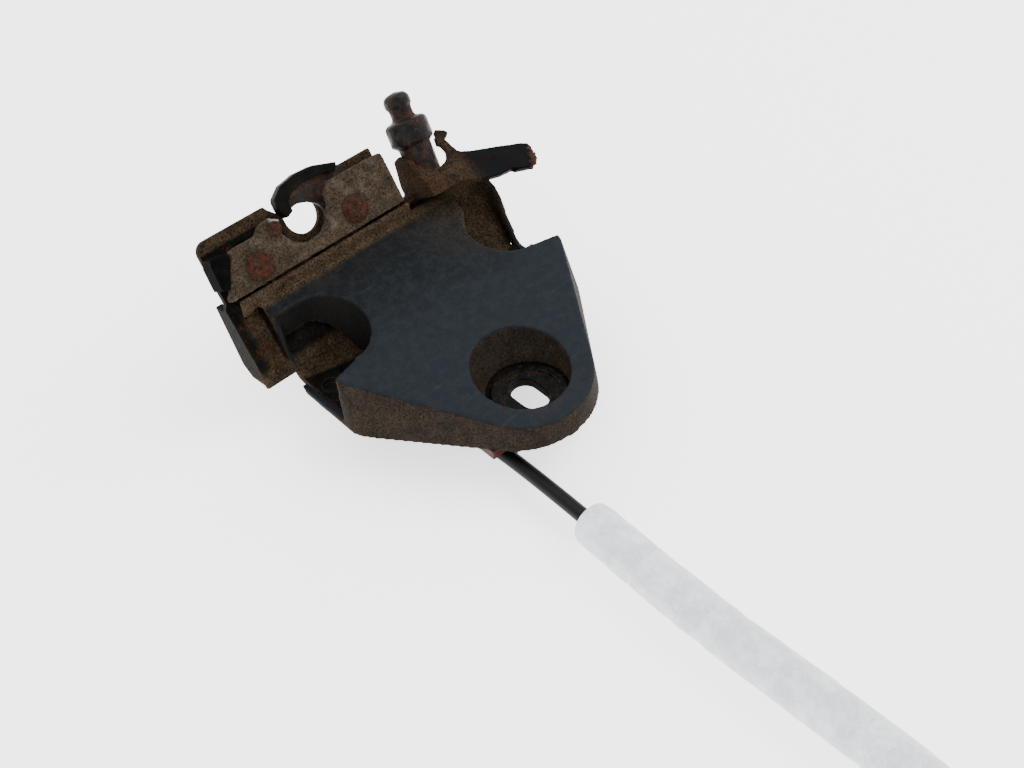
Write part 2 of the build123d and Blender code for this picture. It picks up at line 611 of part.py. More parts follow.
cable_clip = clip_pad + clip_hook + clip_stem + clip_barb - tube(conduit_line, conduit_r + 0.05)
plate = plate - slab(disc(stem_x, stem_y, clip_stem_r + 0.1), -1, plate_t + 1)

# Back housing: a tray under the base with the conduit led through it
housing_inset = 16.2
housing_back_y = bend_y - 2.0
housing_wall = 2.2
housing_front_y = 22.0     # clear of the bolt through the tip slot


def housing_outline(inset):
    v_part = v_outline(rim_half, rim_slope, rim_side_x, rim_tip_r, rim_corner_r + 14,
                       housing_inset + inset, housing_back_y - inset)
    behind_tip = Pos(0, housing_front_y + inset) * Rectangle(200, 200, align=(Align.CENTER, Align.MIN))
    return v_part & behind_tip


back_housing = slab(housing_outline(0), floor_z, 0)
back_housing = chamfer(back_housing.faces().sort_by(Axis.Z)[0].edges(), 1.2)
back_housing = back_housing - slab(housing_outline(housing_wall), floor_z + housing_wall, 1)
screw_at = [(2, 31), (-6, 51), (18, 51)]
screw_r = 1.9
for x, y in screw_at:
    back_housing = back_housing + slab(disc(x, y, 5.4), floor_z + 1.2, 0)
for rib_y in (30, 42):
    rib = Pos(-24, rib_y, floor_z + 1) * Box(13, 2.0, -floor_z - 4, align=(Align.CENTER, Align.CENTER, Align.MIN))
    back_housing = back_housing + rib
housing_screws = []
for x, y in screw_at:
    back_housing = back_housing - slab(disc(x, y, screw_r), floor_z - 1, 1)
    back_housing = back_housing - slab(disc(x, y, 4.0), floor_z - 1, floor_z + 4.0)
    plate = plate - slab(disc(x, y, screw_r), -1, plate_t + 1)
    head = Pos(x, y, floor_z + 4.0) * Rot(180, 0, 0) * dome_head(3.6, 2.4)
    drive = Pos(x, y, floor_z + 1.2) * (Box(4.2, 0.9, 1.6) + Box(0.9, 4.2, 1.6))
    shank = Pos(x, y, 0) * slab(Circle(screw_r), floor_z + 4.0, plate_t + 1.2)
    housing_screws.append(head + shank - drive)
back_housing = back_housing - tube(conduit_line, conduit_r + 0.15)
rear_gate = Pos(core_x + 0.2, housing_back_y, cable_z) * Box(2 * conduit_r + 0.4, 12, 20, align=(Align.CENTER, Align.CENTER, Align.MIN))
back_housing = back_housing - rear_gate
print("housing", back_housing.is_valid, len(back_housing.solids()), "plate", plate.is_valid, len(plate.solids()))

save("mounting_plate", plate)
save("latch_front_plate", front_plate)
save("latch_liner", latch_liner)
save("claw", claw)
save("claw_overmould", claw_overmould)
save("pawl", pawl)
save("pawl_stud", pawl_stud)
save("claw_pivot_rivet", pivot_rivet(claw_x, claw_m))
save("pawl_pivot_rivet", pivot_rivet(pawl_x, pawl_m))
save("claw_spring", claw_spring)
save("pawl_spring", pawl_spring)
save("cover", cover)
save("slot_washer", slot_washer)
save("locating_pin", locating_pin)
save("pin_bracket", pin_bracket)
save("bracket_rivets", *bracket_rivets)
save("back_housing", back_housing)
save("housing_screws", *housing_screws)
save("cable_bracket", cable_bracket)
save("conduit_ferrule", conduit_ferrule)
save("cable_core", cable_core)
save("core_nipple", core_nipple)
save("cable_clip", cable_clip)
save("cable_conduit", cable_conduit)
save("foam_sleeve", foam_sleeve)
save("far_ferrule", far_ferrule)
save("far_core", far_core)
save("far_nipple", far_nipple)
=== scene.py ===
import math

import bmesh
import bpy
from mathutils import Matrix, Vector, noise


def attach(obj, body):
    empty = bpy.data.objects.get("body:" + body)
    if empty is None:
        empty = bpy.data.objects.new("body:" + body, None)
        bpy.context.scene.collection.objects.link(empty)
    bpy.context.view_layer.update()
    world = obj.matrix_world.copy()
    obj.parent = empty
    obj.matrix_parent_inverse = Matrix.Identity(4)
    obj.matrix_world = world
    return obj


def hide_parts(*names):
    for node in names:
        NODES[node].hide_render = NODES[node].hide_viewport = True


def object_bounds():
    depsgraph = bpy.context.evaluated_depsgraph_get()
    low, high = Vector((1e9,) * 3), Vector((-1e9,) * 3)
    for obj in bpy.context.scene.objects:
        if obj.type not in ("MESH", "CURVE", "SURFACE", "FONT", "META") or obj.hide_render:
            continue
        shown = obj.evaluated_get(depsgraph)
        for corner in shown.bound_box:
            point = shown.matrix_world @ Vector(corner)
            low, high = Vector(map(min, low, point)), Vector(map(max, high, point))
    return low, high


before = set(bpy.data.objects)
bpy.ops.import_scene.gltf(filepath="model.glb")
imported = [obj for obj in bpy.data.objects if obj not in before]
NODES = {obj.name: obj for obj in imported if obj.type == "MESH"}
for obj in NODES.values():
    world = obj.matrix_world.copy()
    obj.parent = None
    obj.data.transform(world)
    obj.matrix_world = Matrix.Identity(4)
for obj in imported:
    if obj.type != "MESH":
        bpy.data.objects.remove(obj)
CAD_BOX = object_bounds()

bl_info = {
    "name": "Door Lock Dresser",
    "version": (1, 0, 0),
    "blender": (4, 5, 0),
    "location": "3D View > Sidebar > Door Lock",
    "description": "Dresses a car door lock with worn metal, dusty plastic and a foam-sleeved cable",
    "category": "Object",
}

MM = 0.001
LOW, HIGH = CAD_BOX

# The inclined face of the plate: x across, m up the face, h off it
TILT = math.radians(55.4)
UP_FACE = Vector((0, math.cos(TILT), math.sin(TILT)))
OFF_FACE = Vector((0, -math.sin(TILT), math.cos(TILT)))
FOLD = Vector((0, 28.3, 27.6)) * MM
# The bracket's front sheet leans back over the pin
LEAN = math.radians(60)
LEAN_OUT = UP_FACE * math.cos(LEAN) + OFF_FACE * math.sin(LEAN)
LEAN_UP = UP_FACE * math.sin(LEAN) - OFF_FACE * math.cos(LEAN)
LEAN_FRONT = 14.5
# The torn edge at the arm's end, x and distance up the sheet, and how far behind its front
TORN_EDGE = [
    (61.9, -9.4), (61.8, -10.9), (61.0, -12.2), (60.8, -13.4), (59.8, -14.9), (58.4, -15.8),
    (56.8, -16.2),
]
TORN_DEPTH = -0.7
TORN_RADIUS = 1.25
STUD_X, STUD_M, STUD_H = -33.9, 17.3, 7.9
# The nut's rings from the plate down and up its bore: z, half across flats, bore radius
NUT_RINGS = [
    (0.0, 5.3, 0), (-4.6, 5.3, 0), (-5.3, 4.9, 0), (-5.3, 0, 3.9), (-4.8, 0, 3.4), (0.0, 0, 3.4),
]
SIDE_HOLE_X = 42.8
POCKET_X, POCKET_Y = -39.2, 2.0
# Where the left flange's ridge starts and ends
RIDGE_START_X, RIDGE_END_X = -60.5, -50.0

# The photograph's viewpoint, in metres
CAMERA_PLACE = Vector((-0.1974, -0.2840, 0.3223))
CAMERA_RIGHT = Vector((0.733, -0.677, -0.059))
CAMERA_FORWARD = Vector((0.441, 0.540, -0.717))
SKY_LIGHT = 1.5
FLOOR_GAP = 0.2 * MM
FLOOR_HALF = 3.0

CONDUIT_RADIUS = 2.6 * MM
FOAM_RADIUS = 7.6 * MM
CABLE_Z = -7.4
# Control points of the conduit, in millimetres
CONDUIT_ROUTE = [
    (-28.701, 25.411, 11.085), (-28.701, 17.261, -0.729), (-28.101, 4.553, CABLE_Z),
    (-23.5, -21, CABLE_Z), (-17.9, -48, CABLE_Z), (-17.3, -71, CABLE_Z), (-18.4, -113, CABLE_Z),
    (-19.5, -146, CABLE_Z), (-18.2, -179, CABLE_Z), (-17.6, -209, CABLE_Z),
    (-18.7, -237, CABLE_Z), (-18.2, -267, CABLE_Z),
]
FOAM_START_Y, FOAM_END_Y = -95.5, -254.0
FOAM_STEPS, FOAM_AROUND = 300, 72
FOAM_END_ROUNDING = 2.6 * MM
FOAM_WALL_GAP = 0.25 * MM
# Creases round the foam: distance from its start in metres, depth in millimetres, width in metres
FOAM_CREASES = [(0.0245, 0.35, 0.0005), (0.052, 0.12, 0.0009)]


def face_point(x, m, h):
    """A point given on the inclined face, in millimetres, as a place in metres."""
    return FOLD + (Vector((x, 0, 0)) + UP_FACE * m + OFF_FACE * h) * MM


def lean_point(x, across, out):
    """A point given on the bracket's front sheet, in millimetres, as a place in metres."""
    return FOLD + (Vector((x, 0, 0)) + LEAN_UP * across + LEAN_OUT * (LEAN_FRONT + out)) * MM


def srgb(red, green, blue):
    """A display colour of 0 to 255 as linear light."""
    return tuple(((c / 255) / 12.92 if c <= 10 else ((c / 255 + 0.055) / 1.055) ** 2.4)
                 for c in (red, green, blue))


class Val:
    """A shader number that takes Python arithmetic."""

    def __init__(self, shader, socket):
        self.shader = shader
        self.socket = socket

    def math(self, operation, *others, clamp=False):
        settings = {"operation": operation, "use_clamp": clamp}
        return self.shader.number("Math", settings, self, *others)

    def __add__(self, other):
        return self.math("ADD", other)

    __radd__ = __add__

    def __mul__(self, other):
        return self.math("MULTIPLY", other)

    __rmul__ = __mul__

    def __sub__(self, other):
        return self.math("SUBTRACT", other)

    def __rsub__(self, other):
        return self.shader.number("Math", {"operation": "SUBTRACT"}, other, self)

    def __pow__(self, other):
        return self.math("POWER", other)

    def clamped(self):
        return self.math("ADD", 0.0, clamp=True)

    def step(self, low, high):
        """0 below low, 1 above high and smooth between."""
        settings = {"interpolation_type": "SMOOTHSTEP"}
        return self.shader.number("MapRange", settings, self, low, high, 0.0, 1.0)


class Shader:
    """The nodes of one material."""

    def __init__(self, name):
        self.material = bpy.data.materials.new(name)
        self.material.use_nodes = True
        self.tree = self.material.node_tree
        self.tree.nodes.clear()
        coordinates = self.add("TexCoord")
        self.place = coordinates.outputs["Object"]
        self.normal = coordinates.outputs["Normal"]

    def add(self, kind, settings=None, *values, **named):
        node = self.tree.nodes.new("ShaderNode" + kind)
        for key, value in (settings or {}).items():
            setattr(node, key, value)
        sockets = list(zip(node.inputs, values))
        sockets += [(node.inputs[key.replace("_", " ")], value) for key, value in named.items()]
        for socket, value in sockets:
            if isinstance(value, Val):
                value = value.socket
            if isinstance(value, bpy.types.NodeSocket):
                self.tree.links.new(value, socket)
            elif value is not None:
                if isinstance(value, tuple) and len(value) == 3 and socket.type == "RGBA":
                    value = (*value, 1)
                socket.default_value = value
        return node

    def number(self, kind, settings, *values, **named):
        return Val(self, self.add(kind, settings, *values, **named).outputs[0])

    def noise(self, size, detail=3.0, rough=0.55, stretch=None, seed=0.0, distortion=0.0):
        """Noise whose lumps are about size millimetres."""
        place = self.place
        if stretch or seed:
            shift = (seed, seed * 0.7, seed * 1.3)
            mapping = self.add("Mapping", {}, place, shift, (0, 0, 0), stretch or (1, 1, 1))
            place = mapping.outputs[0]
        return self.number(
            "TexNoise", {}, Vector=place, Scale=1 / (size * MM), Detail=detail, Roughness=rough,
            Distortion=distortion,
        )

    def facing(self, direction):
        """Cosine between the surface's normal and a direction of the object."""
        direction = Vector(direction).normalized()
        node = self.add("VectorMath", {"operation": "DOT_PRODUCT"}, self.normal, tuple(direction))
        return Val(self, node.outputs["Value"])

    def along(self, direction, origin=(0, 0, 0)):
        """How far a point lies from the origin along a direction, in millimetres."""
        offset = self.add("VectorMath", {"operation": "SUBTRACT"}, self.place, tuple(origin))
        unit = tuple(Vector(direction).normalized())
        node = self.add("VectorMath", {"operation": "DOT_PRODUCT"}, offset.outputs[0], unit)
        return Val(self, node.outputs["Value"]) * (1 / MM)

    def near(self, place, radius, soft=1.0):
        """1 within a radius of a place and 0 outside it, in millimetres."""
        node = self.add("VectorMath", {"operation": "DISTANCE"}, self.place, tuple(place))
        return 1 - (Val(self, node.outputs["Value"]) * (1 / MM)).step(radius - soft, radius + soft)

    def hollow(self, distance, samples=6):
        """0 on open ground and towards 1 in corners closer than distance, in millimetres."""
        node = self.add("AmbientOcclusion", {"samples": samples}, Distance=distance * MM)
        return 1 - Val(self, node.outputs["AO"])

    def edge(self, radius):
        """Towards 1 on sharp edges, over a radius in millimetres."""
        bevel = self.add("Bevel", {"samples": 6}, radius * MM)
        true = self.add("NewGeometry").outputs["Normal"]
        dot = self.add("VectorMath", {"operation": "DOT_PRODUCT"}, bevel.outputs[0], true)
        return ((1 - Val(self, dot.outputs["Value"])) * 6).clamped()

    def mix(self, amount, first, second):
        """Two colours mixed by an amount."""
        node = self.add("Mix", {"data_type": "RGBA", "blend_type": "MIX", "clamp_factor": True})
        for socket, value in ((node.inputs[0], amount), (node.inputs[6], first), (node.inputs[7], second)):
            if isinstance(value, Val):
                value = value.socket
            if isinstance(value, bpy.types.NodeSocket):
                self.tree.links.new(value, socket)
            else:
                socket.default_value = (*value, 1) if isinstance(value, tuple) else value
        return node.outputs[2]

    def bump(self, height, depth, strength=1.0):
        """A bump of the given depth in millimetres."""
        return self.add("Bump", {}, Strength=strength, Distance=depth * MM, Height=height).outputs[0]

    def surface(self, colour, rough, metal=0.0, normal=None, **named):
        node = self.add("BsdfPrincipled", {}, Base_Color=colour, Roughness=rough, Metallic=metal, **named)
        if normal:
            self.tree.links.new(normal, node.inputs["Normal"])
        output = self.add("OutputMaterial")
        self.tree.links.new(node.outputs[0], output.inputs[0])
        return self.material


SIDEWAYS = (1, 0, 0)
ALONG = (0, 1, 0)
UPWARDS = (0, 0, 1)
DUST_DARK = srgb(24, 18, 12)
DUST_PALE = srgb(70, 57, 43)
DUST_PIT = srgb(7, 5, 4)
RUST_DARK = srgb(22, 10, 6)
RUST_PALE = srgb(66, 32, 17)
DUST_ROUGHNESS = 0.92


def dust_colour(shader):
    """Caked road dust: pale grains with dark gaps between them."""
    grain = shader.noise(0.55, 3, 0.8, seed=3)
    patch = shader.noise(6, 3, 0.6, seed=8)
    colour = shader.mix((grain * 0.75 + patch * 0.25).step(0.36, 0.64), DUST_DARK, DUST_PALE)
    pits = shader.noise(0.8, 3, 0.75, seed=5).step(0.53, 0.62)
    return shader.mix(pits * 0.85, colour, DUST_PIT)


def rust_colour(shader):
    patch = shader.noise(1.3, 4, 0.7, seed=11)
    return shader.mix(patch.step(0.36, 0.66), RUST_DARK, RUST_PALE)


def layered(name, base, dust, rust=None, rough=0.5, metal=0.0, relief=0.3, gloss=0.15):
    """A base colour under rust under dust. base, dust and rust are functions of the shader:
    the first gives a colour, the others say how much lies at a point."""
    s = Shader(name)
    colour = base(s)
    rust_amount = rust(s).clamped() if rust else 0.0
    dust_amount = dust(s).clamped()
    if rust:
        colour = s.mix(rust_amount, colour, rust_colour(s))
    colour = s.mix(dust_amount, colour, dust_colour(s))
    grain = s.noise(0.55, 3, 0.8, seed=3) + s.noise(1.3, 3, 0.6, seed=14) * 0.9
    cover = dust_amount + rust_amount * 0.7
    bare = (1 - dust_amount) * (1 - rust_amount)
    return s.surface(
        colour,
        bare * (rough - DUST_ROUGHNESS) + DUST_ROUGHNESS,
        bare * metal if metal else 0.0,
        s.bump(grain * (cover + 0.05), relief, 0.9),
        Specular_IOR_Level=gloss,
    )


def cover_base(s):
    """Black plastic, bluer and paler towards the front in soft clouds, with faint scuffs along it, painted
    shade on its sideways walls and a painted highlight along its edges.
    """
    y = s.along(ALONG)
    cloud = s.noise(16, 4, 0.6, seed=1)
    # Paler and bluer towards the front of the cover, in soft clouds.
    pale_front = (cloud * 0.5 + (1 - y.step(-30, 22)) * 0.5).step(0.25, 0.75)
    mottle = s.noise(3.2, 4, 0.7, seed=45) * 0.6 + s.noise(0.6, 2, 0.7, seed=46) * 0.4
    colour = s.mix(pale_front, srgb(13, 15, 17), srgb(22, 26, 31))
    colour = s.mix(mottle.step(0.42, 0.62) * 0.35, colour, srgb(36, 40, 42))
    # Painted shade: walls that face sideways get their colour darkened towards near black.
    wall_shade = 1 - s.facing(UPWARDS).step(0.3, 0.8)
    colour = s.mix(wall_shade * 0.8, colour, srgb(7, 7, 6))
    scuff = s.noise(1.3, 2, 0.6, stretch=(0.06, 1, 1), seed=41).step(0.60, 0.70)
    scuff = scuff * s.noise(12, 3, 0.6, seed=43).step(0.45, 0.65)
    cross = s.noise(0.9, 2, 0.6, stretch=(1, 0.10, 1), seed=47).step(0.64, 0.72)
    cross = cross * s.noise(9, 3, 0.6, seed=49).step(0.52, 0.68)
    colour = s.mix((scuff * 0.12 + cross * 0.10).clamped(), colour, srgb(60, 62, 60))
    # Painted highlight: sharp edges get their colour painted paler grey.
    return s.mix(s.edge(0.9) * 0.3, colour, srgb(56, 60, 60))


def pocket_mask(s):
    """1 inside the round pocket over the left fixing hole."""
    x, y = s.along(SIDEWAYS), s.along(ALONG)
    across, back = x - POCKET_X, y - POCKET_Y
    return 1 - ((across * across + back * back) ** 0.5).step(17.5, 19.0)


def cover_dust(s):
    """Dust on the steep walls, in the funnel, along the lip and round the right pocket."""
    y = s.along(ALONG)
    up = s.facing(UPWARDS)
    cloud = s.noise(7, 5, 0.65, seed=31)
    fine = s.noise(1.2, 4, 0.7, seed=33)
    streak = s.noise(2.4, 3, 0.6, stretch=(1, 1, 0.25), seed=35)
    wall = (1 - up.step(0.25, 0.7)) * (cloud * 0.7 + fine * 0.3 + streak * 0.5 - 0.22)
    lip = y.step(20.6, 23.4) * 0.95
    haze = y.step(12, 23) * (cloud * 0.6 + fine * 0.3 - 0.36)
    right = s.near((0.031, 0.016, 0.025), 15, 13) * (cloud * 0.9 + fine * 0.3 - 0.12)
    funnel = s.near((0, -0.051, 0.006), 15, 4) * (cloud * 0.6 + fine * 0.6 - 0.25)
    speckle = fine.step(0.62, 0.70) * 0.2
    amount = wall * 0.8 + lip + haze + right + funnel * 0.6 + speckle * cloud
    return amount.clamped() * (1 - pocket_mask(s) * 0.85)


def plate_base(s):
    cloud = s.noise(5, 4, 0.6, seed=1)
    colour = s.mix(cloud.step(0.35, 0.7), srgb(4, 5, 4), srgb(13, 13, 11))
    return s.mix(s.edge(0.6) * 0.5, colour, srgb(60, 54, 46))


def plate_dust(s):
    """Thick on the upper strip, on the ledge of the pocket's floor and beside the ridge."""
    x, y = s.along(SIDEWAYS), s.along(ALONG)
    m = s.along(UP_FACE, FOLD)
    cloud = s.noise(5, 5, 0.65, seed=31)
    fine = s.noise(1.0, 4, 0.7, seed=33)
    left = 1 - x.step(-30, -26)
    strip = (left * m.step(19.8, 20.8) + (1 - left) * m.step(2, 5)) * (cloud * 0.5 + 0.55)
    ledge = (y - x.math("ABSOLUTE") * 0.254 + 3.0).step(-0.8, 0.8) * (1 - m.step(-25.5, -22))
    floor = ledge * (cloud + 0.35)
    ridge = (x - RIDGE_START_X).step(3.0, 7.5) * (1 - (x - RIDGE_END_X).step(0.0, 1.0))
    ridge = ridge * (1 - m.step(-4, 2)) * (cloud * 1.2 + 0.2)
    right = x.step(20, 28) * (1 - m.step(0, 2)) * m.step(-30, -26) * (cloud * 0.5 + 0.6)
    loose = ((cloud + fine - 0.98) * 0.8).clamped()
    return (strip + floor + ridge + right + loose).clamped() * (0.85 + fine * 0.3)


def plate_rust(s):
    x, m = s.along(SIDEWAYS), s.along(UP_FACE, FOLD)
    cloud = s.noise(4, 5, 0.7, seed=21)
    ridge = (x - RIDGE_START_X).step(3.5, 8.0) * (1 - (x - RIDGE_END_X).step(0.0, 1.0))
    ridge = ridge * (1 - m.step(-8, 0))
    return (cloud + s.edge(0.7) * 0.12).step(0.58, 0.64) * 0.8 + ridge * cloud.step(0.40, 0.55)


def face_dust(s):
    """A whole crust, thin only where the striker rubbed beside the slot."""
    cloud = s.noise(4, 4, 0.6, seed=31)
    rubbed = s.near(face_point(-31.8, 20.6, 8), 2.2, 1.2)
    return (cloud * 0.5 + 0.75).clamped() * (1 - rubbed)


def face_rust(s):
    cloud = s.noise(2.0, 4, 0.7, seed=21)
    stud = s.near(face_point(-35.5, 16.8, 8), 3.6, 1.8)
    rivet = s.near(face_point(-44.5, 9.3, 8), 6.2, 1.6)
    spots = stud + rivet
    return cloud.step(0.60, 0.66) * 0.5 + spots * cloud.step(0.35, 0.5)


def plain(dark, pale, size=4.0):
    """A base of two close tones in soft patches."""
    def base(s):
        return s.mix(s.noise(size, 4, 0.6, seed=1).step(0.35, 0.68), dark, pale)
    return base


def patches(size, low, high, amount=1.0, corners=0.4, seed=31):
    """Dust or rust in patches of about a size, and more of it in corners."""
    def lay(s):
        cloud = s.noise(size, 5, 0.66, seed=seed)
        return (cloud + s.hollow(3) * corners).step(low, high) * amount
    return lay


def set_material(node, material):
    mesh = NODES[node].data
    mesh.materials.clear()
    mesh.materials.append(material)
    for polygon in mesh.polygons:
        polygon.material_index = 0


def join_faces(piece):
    weld = piece.modifiers.new("Join", "WELD")
    weld.merge_threshold = 0.002 * MM


def round_edges(node, width, segments=2, angle=32):
    """Softens the sharp edges of a CAD piece without touching its mesh."""
    piece = NODES[node]
    join_faces(piece)
    bevel = piece.modifiers.new("Edges", "BEVEL")
    bevel.width = width * MM
    bevel.segments = segments
    bevel.limit_method = "ANGLE"
    bevel.angle_limit = math.radians(angle)
    bevel.harden_normals = False
    bevel.use_clamp_overlap = True


def crust(node, voxel, smooth=2, height=0.0, lump=1.0):
    """Re-meshes a CAD piece finely, rounds its edges and roughens it, all by modifiers."""
    piece = NODES[node]
    join_faces(piece)
    remesh = piece.modifiers.new("Fine mesh", "REMESH")
    remesh.mode = "VOXEL"
    remesh.voxel_size = voxel * MM
    remesh.use_smooth_shade = True
    soften = piece.modifiers.new("Soften", "SMOOTH")
    soften.factor = 0.5
    soften.iterations = smooth
    if height:
        texture = bpy.data.textures.new(node + "_lumps", "CLOUDS")
        texture.noise_scale = lump * MM
        texture.noise_depth = 2
        rough = piece.modifiers.new("Roughen", "DISPLACE")
        rough.texture = texture
        rough.texture_coords = "LOCAL"
        rough.mid_level = 0.5
        rough.strength = height * MM


def new_piece(name, mesh_builder, material, smooth=True):
    """A new object from a bmesh that rides on the frame."""
    mesh = bpy.data.meshes.new(name)
    mesh_builder.to_mesh(mesh)
    mesh_builder.free()
    piece = bpy.data.objects.new(name, mesh)
    bpy.context.scene.collection.objects.link(piece)
    mesh.materials.append(material)
    if smooth:
        for polygon in mesh.polygons:
            polygon.use_smooth = True
    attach(piece, "frame")
    return piece


def join_rings(builder, rings):
    """Faces between rings of vertices."""
    around = len(rings[0])
    for first, second in zip(rings, rings[1:]):
        for k in range(around):
            n = (k + 1) % around
            builder.faces.new((first[k], second[k], second[n], first[n]))


def close_tube(builder, rings, caps=True):
    """Faces between rings of vertices, and over both ends."""
    join_rings(builder, rings)
    if caps:
        builder.faces.new(rings[0])
        builder.faces.new(reversed(rings[-1]))
    bmesh.ops.recalc_face_normals(builder, faces=builder.faces)


def route_points(curve_object):
    """Points along a curve's own line."""
    mesh = bpy.data.meshes.new_from_object(curve_object)
    points = [vertex.co.copy() for vertex in mesh.vertices]
    bpy.data.meshes.remove(mesh)
    return points


def nurbs(name, points):
    """A smooth open curve through a cord's route, points in millimetres."""
    data = bpy.data.curves.new(name, "CURVE")
    data.dimensions = "3D"
    data.resolution_u = 24
    spline = data.splines.new("NURBS")
    spline.points.add(len(points) - 1)
    for point, place in zip(spline.points, points):
        point.co = (*(Vector(place) * MM), 1)
    spline.order_u = 3
    spline.use_endpoint_u = True
    curve = bpy.data.objects.new(name, data)
    bpy.context.scene.collection.objects.link(curve)
    return curve


class DoorLockSettings(bpy.types.PropertyGroup):
    lens: bpy.props.FloatProperty(
        name="Lens", description="Focal length of the camera", default=47.42, unit="CAMERA")
    key_power: bpy.props.FloatProperty(
        name="Key light", description="Power of the large soft light", default=16.0, min=0)
    floor_colour: bpy.props.FloatVectorProperty(
        name="Floor", description="Colour of the floor", default=(0.93, 0.93, 0.93),
        subtype="COLOR", size=3)
    floor_glow: bpy.props.FloatProperty(
        name="Floor glow", description="Light that the floor gives, as a light table does",
        default=1.6, min=0)
    edge_width: bpy.props.FloatProperty(
        name="Edge width", description="Rounding of the sheet edges", default=0.3 * MM, unit="LENGTH")


class DOORLOCK_OT_stage(bpy.types.Operator):
    """Camera, floor and soft studio light"""
    bl_idname = "doorlock.stage"
    bl_label = "Stage"

    def execute(self, context):
        settings = context.scene.door_lock
        scene = context.scene
        data = bpy.data.cameras.new("Camera")
        data.sensor_fit = "HORIZONTAL"
        data.sensor_width = 36
        data.lens = settings.lens
        data.clip_start = 0.01
        camera = bpy.data.objects.new("Camera", data)
        scene.collection.objects.link(camera)
        right = CAMERA_RIGHT.normalized()
        forward = CAMERA_FORWARD.normalized()
        right = (right - forward * right.dot(forward)).normalized()
        up = right.cross(forward)
        rotation = Matrix((right, up, -forward)).transposed().to_4x4()
        camera.matrix_world = Matrix.Translation(CAMERA_PLACE) @ rotation
        scene.camera = camera

        world = bpy.data.worlds.new("World")
        world.use_nodes = True
        background = world.node_tree.nodes["Background"]
        background.inputs["Color"].default_value = (1, 1, 1, 1)
        background.inputs["Strength"].default_value = SKY_LIGHT
        scene.world = world
        lights = [
            ("Key light", (0.75, -0.35, 1.0), 0.9, settings.key_power),
            ("Fill light", (-0.9, -0.5, 0.7), 1.0, settings.key_power * 0.35),
            ("Back light", (0.0, 0.9, 0.8), 0.9, settings.key_power * 0.5),
        ]
        for name, place, size, power in lights:
            lamp = bpy.data.lights.new(name, "AREA")
            lamp.size = size
            lamp.energy = power
            light = bpy.data.objects.new(name, lamp)
            light.location = place
            light.rotation_mode = "QUATERNION"
            light.rotation_quaternion = (-Vector(place)).to_track_quat("-Z", "Y")
            scene.collection.objects.link(light)

        shader = Shader("Floor")
        material = shader.surface(
            tuple(settings.floor_colour), 0.7, Emission_Color=(1, 1, 1),
            Emission_Strength=settings.floor_glow)
        builder = bmesh.new()
        bmesh.ops.create_grid(builder, x_segments=1, y_segments=1, size=FLOOR_HALF)
        mesh = bpy.data.meshes.new("Floor")
        builder.to_mesh(mesh)
        builder.free()
        floor = bpy.data.objects.new("Floor", mesh)
        floor.location = (0, 0, LOW.z - FLOOR_GAP)
        mesh.materials.append(material)
        scene.collection.objects.link(floor)
        return {"FINISHED"}


